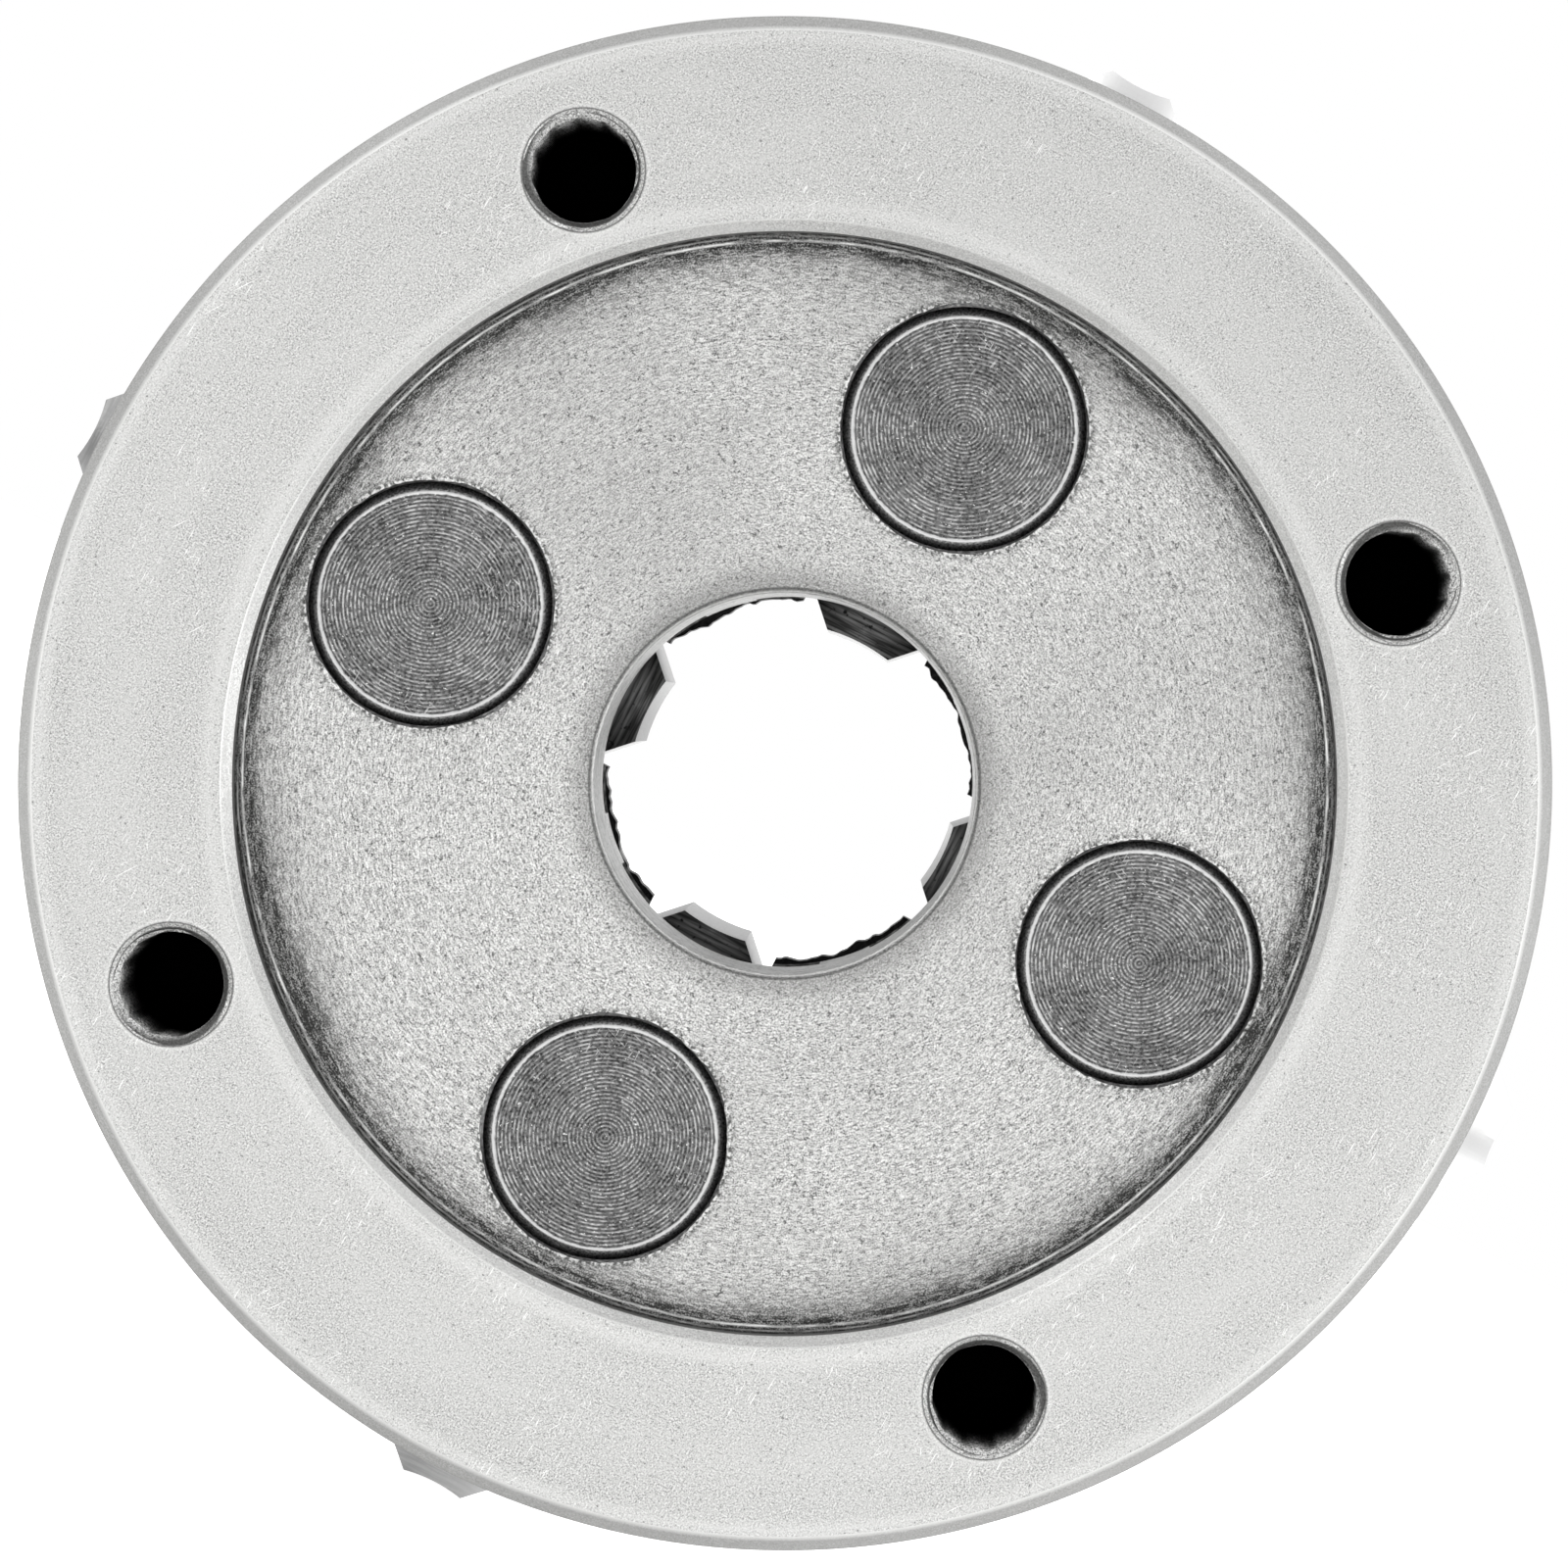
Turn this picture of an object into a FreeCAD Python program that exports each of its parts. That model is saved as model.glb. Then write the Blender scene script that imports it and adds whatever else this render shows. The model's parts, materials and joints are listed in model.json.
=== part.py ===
import FreeCAD, Part
import math
import os
import re

import Sketcher

# A four-jaw independent lathe chuck, 100 mm across, in millimetres.
# Y is the chuck's own axis: the rear mounting face is y = 0 and the jaws stand on
# the +Y side. The four slots run along +Z, -X, -Z and +X, and +Z is up.
# Each jaw is driven by its own screw, which lies along the slot and is held
# endways by a thrust pin let in from the register recess.

SIZES = [
    # the body
    ("body_diameter", 100.0),
    ("body_length", 35.0),
    ("rear_chamfer", 1.0),
    ("front_chamfer", 1.5),
    ("register_diameter", 72.0),
    ("register_depth", 3.0),
    ("register_chamfer", 0.75),
    ("bore_diameter", 25.0),
    ("bore_chamfer", 0.4),
    ("rib_bore", 24.5),
    ("ring_depth", 0.5),
    ("ring_one", 24.0),
    ("ring_two", 33.0),
    ("ring_three", 42.0),
    # the jaw slots
    ("slot_width", 15.0),
    ("slot_floor", 21.0),
    ("rib_start", 27.0),
    ("rib_end", 31.0),
    ("rib_gap", 9.4),
    # the tapped holes for the backplate, M8
    ("bolt_circle", 84.0),
    ("tap_diameter", 6.8),
    ("tap_depth", 18.0),
    ("tap_mouth", 8.0),
    # the thrust pins
    ("pin_circle", 52.0),
    ("pin_hole", 16.0),
    ("pin_diameter", 15.98),
    ("pin_face", 3.25),
    ("pin_chamfer", 0.6),
    ("pin_collar", 4.8),
    # the screws
    ("screw_axis", 18.0),
    ("screw_bore", 13.7),
    ("screw_bore_end", 15.5),
    ("screw_diameter", 13.5),
    ("screw_inner", 16.0),
    ("screw_outer", 48.5),
    ("screw_chamfer", 0.7),
    ("neck_diameter", 8.0),
    ("neck_width", 5.0),
    ("neck_play", 0.1),
    ("thread_pitch", 2.5),
    ("thread_depth", 1.15),
    ("thread_root", 0.7),
    ("thread_flank", 0.31),
    ("thread_play", 0.13),
    ("thread_runout", 2.0),
    ("key_square", 8.0),
    ("key_corner", 6.5),
    ("key_depth", 12.0),
    ("key_mouth", 10.6),
    # the jaws
    ("jaw_length", 42.6),
    ("jaw_width", 14.8),
    ("jaw_bottom", 21.5),
    ("jaw_play", 0.1),
    ("jaw_neck", 9.1),
    ("jaw_edge", 0.4),
    ("nose_tip", 4.6),
    ("outer_tip", 4.3),
    ("riser_tip", 8.0),
    ("tip_radius", 12.0),
    ("nut_lead", 3.5),
    ("step_one_end", 10.6),
    ("step_two_end", 21.2),
    ("step_three_end", 31.9),
    ("top_one", 53.0),
    ("top_two", 47.5),
    ("top_three", 42.0),
    ("top_four", 37.0),
    # where each jaw's nose stands, measured from the axis
    ("nose_one", 10.4),
    ("nose_two", 10.5),
    ("nose_three", 11.0),
    ("nose_four", 11.4),
]

ALIASES = {name for name, _ in SIZES}
JAW_COUNT = 4
OVERCUT = 1.0  # how far a cutting outline runs past the solid
WORDS = ["one", "two", "three", "four"]
# the turn about Y that takes +X to each jaw's slot: +Z, -X, -Z, +X
SLOT_TURNS = [-90.0, 180.0, 90.0, 0.0]
SMALL = 1e-6  # mm: lengths closer than this are the same length

doc = FreeCAD.newDocument("LatheChuck")
sizes = doc.addObject("Spreadsheet::Sheet", "Sizes")


def fill_sheet():
    """One row for each driving dimension: its name, and its value under that alias."""
    for row, (name, number) in enumerate(SIZES, start=1):
        sizes.set(f"A{row}", name)
        sizes.set(f"B{row}", str(number))
        sizes.setAlias(f"B{row}", name)
    doc.recompute()


def bound(text):
    """An expression with each dimension's name written as the sheet's cell."""

    def cell(word):
        return "Sizes." + word[0] if word[0] in ALIASES else word[0]

    return re.sub(r"[a-z_]+", cell, text)


def value(text):
    """The number that an expression in the sheet's names stands for."""
    return float(sizes.evalExpression(bound(text)))


def new_body(label):
    body = doc.addObject("PartDesign::Body", label)
    body.Label = label
    return body


def origin_part(body, role):
    """One of the body's own origin planes or axes."""
    return next(item for item in body.Origin.OriginFeatures if item.Role == role)


def new_sketch(body, name, role, offset="0", raised="0"):
    """A sketch on an origin plane, moved along the plane's normal by one expression
    and up within the plane by another."""
    sketch = body.newObject("Sketcher::SketchObject", name)
    sketch.AttachmentSupport = [(origin_part(body, role), "")]
    sketch.MapMode = "FlatFace"
    sketch.setExpression("AttachmentOffset.Base.z", bound(offset))
    sketch.setExpression("AttachmentOffset.Base.y", bound(raised))
    return sketch


def pin_down(sketch, edge, end, across, up):
    """Tie one end of an edge to the sketch's origin by two expressions."""
    for kind, text, axis in (("DistanceX", across, -2), ("DistanceY", up, -1)):
        number = value(text)
        if abs(number) < SMALL:
            sketch.addConstraint(Sketcher.Constraint("PointOnObject", edge, end, axis))
            continue
        made = sketch.addConstraint(Sketcher.Constraint(kind, -1, 1, edge, end, number))
        sketch.setExpression(f"Constraints[{made}]", bound(text))


def arc_between(start, stop, radius, side):
    """An arc from start to stop, bulging to the left of that way (+1) or the right."""
    chord = stop - start
    left = FreeCAD.Vector(-chord.y, chord.x, 0).normalize()
    rise = math.sqrt(radius**2 - (chord.Length / 2) ** 2)
    centre = (start + stop) * 0.5 - left * (rise * side)
    ring = Part.Circle(centre, FreeCAD.Vector(0, 0, 1), radius)
    # a sketch keeps an arc anticlockwise, and one that bulges left runs clockwise
    first, last = (stop, start) if side > 0 else (start, stop)
    return Part.ArcOfCircle(ring, ring.parameter(first), ring.parameter(last))


def outline(sketch, corners):
    """A closed outline. A corner is (across, up), or (across, up, radius, side) where
    an arc of that radius leads to the next corner, bulging to its left (+1) or right."""
    points = [FreeCAD.Vector(value(c[0]), value(c[1]), 0) for c in corners]
    first = sketch.GeometryCount
    for index, corner in enumerate(corners):
        start = points[index]
        stop = points[(index + 1) % len(points)]
        if len(corner) == 2:
            sketch.addGeometry(Part.LineSegment(start, stop))
            continue
        sketch.addGeometry(arc_between(start, stop, value(corner[2]), corner[3]))
    ends = []
    for index, corner in enumerate(corners):
        # an arc that runs clockwise is stored from its other end
        edge = first + index
        shape = sketch.Geometry[edge]
        forward = (shape.StartPoint - points[index]).Length < SMALL
        ends.append((edge, (1, 2) if forward else (2, 1)))
        if len(corner) > 2:
            made = sketch.addConstraint(Sketcher.Constraint("Radius", edge, value(corner[2])))
            sketch.setExpression(f"Constraints[{made}]", bound(corner[2]))
    for index, corner in enumerate(corners):
        edge, (start_end, _) = ends[index]
        before, (_, stop_end) = ends[index - 1]
        sketch.addConstraint(Sketcher.Constraint("Coincident", before, stop_end, edge, start_end))
        pin_down(sketch, edge, start_end, corner[0], corner[1])


def circle(sketch, across, up, diameter):
    """One circle, its centre and diameter bound to the sheet."""
    centre = FreeCAD.Vector(value(across), value(up), 0)
    edge = sketch.addGeometry(Part.Circle(centre, FreeCAD.Vector(0, 0, 1), value(diameter) / 2))
    pin_down(sketch, edge, 3, across, up)
    made = sketch.addConstraint(Sketcher.Constraint("Diameter", edge, value(diameter)))
    sketch.setExpression(f"Constraints[{made}]", bound(diameter))


def finish_feature(feature, what, base_volume=None):
    """Recompute, and stop unless the feature did what it is there for."""
    doc.recompute()
    state = feature.State
    if "Invalid" in state or "Error" in state:
        raise RuntimeError(f"{feature.Name}: {what} failed, {state}")
    if base_volume is not None and feature.Shape.Volume > base_volume - SMALL:
        raise RuntimeError(f"{feature.Name}: {what} cut nothing")
    return feature


def revolve(body, sketch, axis):
    feature = body.newObject("PartDesign::Revolution", sketch.Name + "Turned")
    feature.Profile = sketch
    feature.ReferenceAxis = (sketch, [axis])
    sketch.Visibility = False
    return finish_feature(feature, "turning")


def groove(body, sketch, axis):
    before = body.Shape.Volume
    feature = body.newObject("PartDesign::Groove", sketch.Name + "Groove")
    feature.Profile = sketch
    feature.ReferenceAxis = (sketch, [axis])
    return finish_feature(feature, "groove", before)


def pocket(body, sketch, depth=None, reverse=False, both_ways=False):
    """A pocket to a depth, or right through where none is given."""
    before = body.Shape.Volume
    feature = body.newObject("PartDesign::Pocket", sketch.Name + "Pocket")
    feature.Profile = sketch
    if depth is None:
        feature.Type = "ThroughAll"
    else:
        feature.Type = "Length"
        feature.setExpression("Length", bound(depth))
    feature.Reversed = reverse
    feature.Midplane = both_ways
    return finish_feature(feature, "pocket", before)


def helix(body, sketch, length):
    """A left-handed helical groove about X."""
    before = body.Shape.Volume
    feature = body.newObject("PartDesign::SubtractiveHelix", sketch.Name + "Helix")
    feature.Profile = sketch
    feature.ReferenceAxis = (sketch, ["H_Axis"])
    feature.Mode = "pitch-height-angle"
    feature.LeftHanded = True
    feature.setExpression("Pitch", bound("thread_pitch"))
    feature.setExpression("Height", bound(length))
    return finish_feature(feature, "helix", before)


def repeat_round(body, feature, angle, count):
    """Repeat a feature about the chuck's axis."""
    before = body.Shape.Volume
    pattern = body.newObject("PartDesign::PolarPattern", feature.Name + "Pattern")
    pattern.Originals = [feature]
    pattern.Axis = (origin_part(body, "Y_Axis"), [""])
    pattern.Angle = angle
    pattern.Occurrences = count
    body.Tip = pattern
    return finish_feature(pattern, "pattern", before)


def make_body():
    """The body: turned all over, then slotted, bored for screws and pins, and tapped."""
    body = new_body("chuck_body")
    turned = new_sketch(body, "BodyProfile", "XY_Plane")
    outline(
        turned,
        [
            ("bore_diameter / 2 + bore_chamfer", "register_depth"),
            ("register_diameter / 2", "register_depth"),
            ("register_diameter / 2", "register_chamfer"),
            ("register_diameter / 2 + register_chamfer", "0"),
            ("body_diameter / 2 - rear_chamfer", "0"),
            ("body_diameter / 2", "rear_chamfer"),
            ("body_diameter / 2", "body_length - front_chamfer"),
            ("body_diameter / 2 - front_chamfer", "body_length"),
            ("bore_diameter / 2 + bore_chamfer", "body_length"),
            ("bore_diameter / 2", "body_length - bore_chamfer"),
            ("bore_diameter / 2", "rib_end"),
            ("rib_bore / 2", "rib_end"),
            ("rib_bore / 2", "rib_start"),
            ("bore_diameter / 2", "rib_start"),
            ("bore_diameter / 2", "register_depth + bore_chamfer"),
        ],
    )
    revolve(body, turned, "V_Axis")

    # shallow rings on the front face, for setting the jaws by eye
    rings = new_sketch(body, "FaceRings", "XY_Plane")
    for radius in ("ring_one", "ring_two", "ring_three"):
        outline(
            rings,
            [
                (f"{radius} - ring_depth", "body_length"),
                (radius, "body_length - ring_depth"),
                (f"{radius} + ring_depth", "body_length"),
            ],
        )
    groove(body, rings, "V_Axis")

    # one slot along X takes two jaws; its ribs run in the grooves of the jaws
    slot = new_sketch(body, "JawSlot", "YZ_Plane")
    top = f"body_length + {OVERCUT}"
    half_slot = [
        ("slot_floor", "slot_width / 2"),
        ("rib_start", "slot_width / 2"),
        ("rib_start", "rib_gap / 2"),
        ("rib_end", "rib_gap / 2"),
        ("rib_end", "slot_width / 2"),
        (top, "slot_width / 2"),
    ]
    outline(slot, half_slot + [(y, f"-{z}") for y, z in reversed(half_slot)])
    repeat_round(body, pocket(body, slot, both_ways=True), 90, JAW_COUNT // 2)

    screw_hole = new_sketch(body, "ScrewBore", "YZ_Plane", "screw_bore_end")
    circle(screw_hole, "screw_axis", "0", "screw_bore")
    repeat_round(body, pocket(body, screw_hole, reverse=True), 360, JAW_COUNT)

    pin_hole = new_sketch(body, "PinHole", "XZ_Plane")
    circle(pin_hole, "pin_circle / 2", "0", "pin_hole")
    repeat_round(body, pocket(body, pin_hole, "screw_axis"), 360, JAW_COUNT)

    # the tapped holes stand halfway between the slots
    tapped = new_sketch(body, "TappedHole", "XZ_Plane")
    bolt_side = "bolt_circle / 2 * sqrt(0.5)"
    circle(tapped, bolt_side, bolt_side, "tap_diameter")
    before = body.Shape.Volume
    hole = body.newObject("PartDesign::Hole", "BoltHole")
    hole.Profile = tapped
    doc.recompute()
    hole.DepthType = "Dimension"
    hole.Threaded = False
    hole.setExpression("Diameter", bound("tap_diameter"))
    hole.setExpression("Depth", bound("tap_depth"))
    hole.DrillPoint = "Angled"
    hole.HoleCutType = "Countersink"
    hole.HoleCutCustomValues = True
    hole.setExpression("HoleCutDiameter", bound("tap_mouth"))
    hole.HoleCutCountersinkAngle = 90
    finish_feature(hole, "hole", before)
    repeat_round(body, hole, 360, JAW_COUNT)
    return body


def make_pin(number):
    """A thrust pin: its far end is a saddle under the screw, with a collar that
    stands in the screw's neck and keeps it from moving endways."""
    body = new_body(f"thrust_pin_{number + 1}")
    turned = new_sketch(body, f"PinProfile{number}", "XY_Plane")
    outline(
        turned,
        [
            ("0", "pin_face"),
            ("pin_diameter / 2 - pin_chamfer", "pin_face"),
            ("pin_diameter / 2", "pin_face + pin_chamfer"),
            ("pin_diameter / 2", "screw_axis"),
            ("0", "screw_axis"),
        ],
    )
    revolve(body, turned, "V_Axis")
    neck = new_sketch(body, f"PinNeck{number}", "YZ_Plane")
    circle(neck, "screw_axis", "0", "neck_diameter + 2 * neck_play")
    pocket(body, neck, both_ways=True)
    saddle = new_sketch(body, f"PinSaddle{number}", "YZ_Plane", "pin_collar / 2")
    circle(saddle, "screw_axis", "0", "screw_bore")
    half = pocket(body, saddle, reverse=True)
    before = body.Shape.Volume
    mirrored = body.newObject("PartDesign::Mirrored", f"PinSaddleMirrored{number}")
    mirrored.Originals = [half]
    mirrored.MirrorPlane = (origin_part(body, "YZ_Plane"), [""])
    body.Tip = mirrored
    finish_feature(mirrored, "mirror", before)
    turn = FreeCAD.Rotation(FreeCAD.Vector(0, 1, 0), SLOT_TURNS[number])
    place(body, turn, number, "pin_circle / 2", "0")
    return body


def make_screw(number):
    """A jaw screw, left-handed, so that a clockwise key closes its jaw. Its body lies
    along X at its true distances from the chuck's axis."""
    body = new_body(f"jaw_screw_{number + 1}")
    major = "screw_diameter / 2"
    neck_start = "(pin_circle - neck_width) / 2"
    neck_end = "(pin_circle + neck_width) / 2"
    turned = new_sketch(body, f"ScrewProfile{number}", "XY_Plane")
    outline(
        turned,
        [
            ("screw_inner", "0"),
            ("screw_inner", f"{major} - screw_chamfer"),
            ("screw_inner + screw_chamfer", major),
            (f"{neck_start} - screw_chamfer", major),
            (neck_start, f"{major} - screw_chamfer"),
            (neck_start, "neck_diameter / 2"),
            (neck_end, "neck_diameter / 2"),
            (neck_end, f"{major} - screw_chamfer"),
            (f"{neck_end} + screw_chamfer", major),
            ("screw_outer - screw_chamfer", major),
            ("screw_outer", f"{major} - screw_chamfer"),
            ("screw_outer", "0"),
        ],
    )
    revolve(body, turned, "H_Axis")
    thread = new_sketch(body, f"ScrewThread{number}", "XY_Plane")
    # the cutter is half as deep again as the thread, and its flanks run on to match
    root = f"{major} - thread_depth"
    above = f"{major} + thread_depth / 2"
    wide = "thread_root / 2 + thread_flank * 1.5"
    start = "screw_inner - thread_runout"
    outline(
        thread,
        [
            (f"{start} - thread_root / 2", root),
            (f"{start} + thread_root / 2", root),
            (f"{start} + {wide}", above),
            (f"{start} - ({wide})", above),
        ],
    )
    helix(body, thread, "screw_outer - screw_inner + 2 * thread_runout")
    cone = new_sketch(body, f"KeyMouth{number}", "XY_Plane")
    outline(
        cone,
        [
            ("screw_outer - key_mouth / 2", "0"),
            ("screw_outer", "key_mouth / 2"),
            (f"screw_outer + {OVERCUT}", "key_mouth / 2"),
            (f"screw_outer + {OVERCUT}", "0"),
        ],
    )
    groove(body, cone, "H_Axis")
    # the socket's corners are cut short, as a broach through a drilled hole leaves them
    socket = new_sketch(body, f"KeySocket{number}", "YZ_Plane", "screw_outer")
    flat = "key_square / 2"
    short = "key_corner / 2"
    corners = [(flat, short), (short, flat)]
    corners += [(f"-{short}", flat), (f"-{flat}", short)]
    corners += [(f"-{flat}", f"-{short}"), (f"-{short}", f"-{flat}")]
    corners += [(short, f"-{flat}"), (flat, f"-{short}")]
    outline(socket, corners)
    pocket(body, socket, "key_depth")
    # each screw is turned to the point where its thread meets its own jaw's
    lead = value(f"nose_{WORDS[number]} - nose_one") / value("thread_pitch")
    phase = FreeCAD.Rotation(FreeCAD.Vector(1, 0, 0), 360.0 * lead)
    turn = FreeCAD.Rotation(FreeCAD.Vector(0, 1, 0), SLOT_TURNS[number])
    place(body, turn.multiply(phase), number, "0", "screw_axis")
    return body


def end_cut(sketch, face, side, tip):
    """All that lies outside a pointed end: a hollow tip and two flanks at 45 degrees.
    side is +1 where the end faces outwards and -1 where it faces the axis."""
    past = f"jaw_width / 2 + {OVERCUT}"
    outside = f"{face} + {side * OVERCUT}"
    inside = f"{face} - {side} * ({past} - {tip} / 2)"
    outline(
        sketch,
        [
            (outside, f"-({past})"),
            (outside, past),
            (inside, past),
            (face, f"{tip} / 2", "tip_radius", -side),
            (face, f"-{tip} / 2"),
            (inside, f"-({past})"),
        ],
    )


def rim_edges(shape, level):
    """The names of the outer edges of the flat top at this height."""
    names = []
    for top in shape.Faces:
        box = top.BoundBox
        if abs(box.YMin - level) > SMALL or abs(box.YMax - level) > SMALL:
            continue
        for edge in top.Edges:
            beside = [
                face
                for face in shape.Faces
                if not face.isSame(top) and any(edge.isSame(other) for other in face.Edges)
            ]
            if beside and beside[0].CenterOfMass.y < level:
                index = next(i for i, e in enumerate(shape.Edges, start=1) if e.isSame(edge))
                names.append(f"Edge{index}")
    return names


def make_jaw(number):
    """A reversible jaw, its nose at x = 0 and its length along X. Its steps go down
    outwards, and its underside is half a nut that rides on the screw."""
    body = new_body(f"jaw_{number + 1}")
    side_view = new_sketch(body, f"JawProfile{number}", "XY_Plane")
    tops = ["top_one", "top_two", "top_three", "top_four"]
    risers = ["step_one_end", "step_two_end", "step_three_end"]
    steps = [("0", tops[0])]
    for riser, above, below in zip(risers, tops, tops[1:]):
        steps += [(riser, above), (riser, below)]
    steps += [("jaw_length", tops[-1]), ("jaw_length", "jaw_bottom"), ("0", "jaw_bottom")]
    outline(side_view, steps)
    pad = body.newObject("PartDesign::Pad", f"JawBlock{number}")
    pad.Profile = side_view
    pad.Midplane = True
    pad.setExpression("Length", bound("jaw_width"))
    finish_feature(pad, "pad")

    nose = new_sketch(body, f"JawNose{number}", "XZ_Plane")
    end_cut(nose, "0", -1, "nose_tip")
    pocket(body, nose)
    outer = new_sketch(body, f"JawOuter{number}", "XZ_Plane")
    end_cut(outer, "jaw_length", 1, "outer_tip")
    pocket(body, outer)
    for riser, below in zip(risers, tops[1:]):
        # the plane's normal is -Y, so a height is a negative offset
        cut = new_sketch(body, f"Riser_{riser}{number}", "XZ_Plane", f"-{below}")
        end_cut(cut, riser, 1, "riser_tip")
        pocket(body, cut)

    block = body.Tip
    names = [name for top in tops for name in rim_edges(block.Shape, value(top))]
    chamfer = body.newObject("PartDesign::Chamfer", f"JawEdges{number}")
    chamfer.Base = (block, names)
    chamfer.setExpression("Size", bound("jaw_edge"))
    finish_feature(chamfer, "chamfer", block.Shape.Volume)

    # a groove along each side for the slot's ribs
    guides = new_sketch(body, f"JawGuides{number}", "YZ_Plane")
    low = "rib_start - jaw_play"
    high = "rib_end + jaw_play"
    neck = "jaw_neck / 2"
    past = f"jaw_width / 2 + {OVERCUT}"
    outline(guides, [(low, neck), (low, past), (high, past), (high, neck)])
    outline(guides, [(low, f"-{neck}"), (high, f"-{neck}"), (high, f"-({past})"), (low, f"-({past})")])
    pocket(body, guides, both_ways=True)

    # the half nut: its bore, its thread, and a plain lead at each end
    major = "screw_diameter / 2"
    bore = new_sketch(body, f"NutBore{number}", "YZ_Plane")
    circle(bore, "screw_axis", "0", "screw_diameter - 2 * thread_depth + 2 * thread_play")
    pocket(body, bore, both_ways=True)
    thread = new_sketch(body, f"NutThread{number}", "XY_Plane", raised="screw_axis")
    # two turns before the screw's own thread starts, and half a turn out of step with it
    start = "screw_inner - thread_runout - 2.5 * thread_pitch - nose_one"
    inner = f"{major} - thread_depth * 1.5"
    outer_edge = f"{major} + thread_play"
    ridge = "(thread_pitch - thread_root) / 2 + thread_play"
    wide = f"{ridge} + thread_flank / 2"
    narrow = f"{ridge} - thread_flank * (1 + thread_play / thread_depth)"
    outline(
        thread,
        [
            (f"{start} - ({wide})", inner),
            (f"{start} + ({wide})", inner),
            (f"{start} + ({narrow})", outer_edge),
            (f"{start} - ({narrow})", outer_edge),
        ],
    )
    helix(body, thread, "jaw_length + 2 * thread_pitch")
    for name, offset, outwards in (("Nose", "nut_lead", False), ("Outer", "jaw_length - nut_lead", True)):
        lead = new_sketch(body, f"NutLead{name}{number}", "YZ_Plane", offset)
        circle(lead, "screw_axis", "0", "screw_diameter + 2 * thread_play")
        pocket(body, lead, reverse=outwards)
    turn = FreeCAD.Rotation(FreeCAD.Vector(0, 1, 0), SLOT_TURNS[number])
    place(body, turn, number, f"nose_{WORDS[number]}", "0")
    return body


def place(body, turn, number, outward, height):
    """Turn a body about the chuck's axis and set it out along its own slot."""
    body.Placement = FreeCAD.Placement(FreeCAD.Vector(0, 0, 0), turn)
    angle = math.radians(SLOT_TURNS[number])
    body.setExpression("Placement.Base.x", bound(f"({outward}) * {round(math.cos(angle))}"))
    body.setExpression("Placement.Base.y", bound(height))
    body.setExpression("Placement.Base.z", bound(f"({outward}) * {-round(math.sin(angle))}"))


def check(part):
    """Stop if a part, or any feature that it is made of, is not sound."""
    for item in [part] + part.Group:
        if "Invalid" in item.State or "Error" in item.State:
            raise RuntimeError(f"{item.Name}: {item.State}")
    shape = part.Shape
    if shape.isNull() or not shape.isValid() or len(shape.Solids) != 1:
        raise RuntimeError(f"{part.Label}: the shape is not one sound solid")


fill_sheet()
parts = [make_body()]
for jaw in range(JAW_COUNT):
    parts += [make_pin(jaw), make_screw(jaw), make_jaw(jaw)]
doc.recompute()

os.makedirs("parts", exist_ok=True)
for part in parts:
    check(part)
for part in parts:
    part.Shape.exportStep(f"parts/{part.Label}.step")
    print(f"{part.Label}: {part.Shape.Volume:.0f} mm3")
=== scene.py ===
import json
import math

import bmesh
import bpy
from mathutils import Matrix, Vector, noise


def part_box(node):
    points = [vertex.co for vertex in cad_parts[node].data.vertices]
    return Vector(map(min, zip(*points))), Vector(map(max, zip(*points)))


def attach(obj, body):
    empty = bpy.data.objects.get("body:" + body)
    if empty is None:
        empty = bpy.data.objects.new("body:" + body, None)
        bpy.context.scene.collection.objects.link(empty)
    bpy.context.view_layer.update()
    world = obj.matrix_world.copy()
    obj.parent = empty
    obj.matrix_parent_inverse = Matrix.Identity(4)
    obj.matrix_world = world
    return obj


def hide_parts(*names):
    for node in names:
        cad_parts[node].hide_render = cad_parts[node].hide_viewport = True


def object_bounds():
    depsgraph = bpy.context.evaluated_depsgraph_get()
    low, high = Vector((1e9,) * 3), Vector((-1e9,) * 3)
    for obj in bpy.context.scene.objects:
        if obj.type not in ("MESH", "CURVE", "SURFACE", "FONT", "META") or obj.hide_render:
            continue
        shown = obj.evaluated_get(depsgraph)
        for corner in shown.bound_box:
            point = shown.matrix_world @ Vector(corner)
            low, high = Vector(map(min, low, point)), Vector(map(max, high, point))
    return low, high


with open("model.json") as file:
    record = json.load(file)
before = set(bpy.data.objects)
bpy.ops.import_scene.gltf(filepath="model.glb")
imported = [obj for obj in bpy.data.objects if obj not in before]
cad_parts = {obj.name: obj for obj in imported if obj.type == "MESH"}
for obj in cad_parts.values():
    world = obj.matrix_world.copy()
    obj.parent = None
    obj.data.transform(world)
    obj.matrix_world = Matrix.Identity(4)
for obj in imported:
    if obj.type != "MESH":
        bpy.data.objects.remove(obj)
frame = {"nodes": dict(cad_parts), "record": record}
cad_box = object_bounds()

# The looks of a four-jaw independent lathe chuck. Y is its axis, the rear mounting
# face is y = 0 facing -Y, and the jaws stand on the +Y side. Sizes are in mm.

MM = 0.001
STEPS_ROUND = 384  # straight edges in one turn of the body


# ---------------------------------------------------------------- sizes
mounts = {mount["name"]: mount for mount in frame["record"]["mounts"]}
register_radius = mounts["spindle_register"]["dims"]["r_mm"]
bolt_radius = mounts["backplate_bolts"]["dims"]["pcd_mm"] / 2
tap_radius = mounts["backplate_bolts"]["dims"]["hole_r_mm"]

_, body_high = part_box("chuck_body")
body_radius = body_high.x / MM
body_length = body_high.y / MM

pin_low, pin_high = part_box("thrust_pin_4")
pin_face = pin_low.y / MM
pin_radius = (pin_high.z - pin_low.z) / 2 / MM
pin_circle_radius = (pin_low.x + pin_high.x) / 2 / MM
screw_axis = pin_high.y / MM

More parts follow.
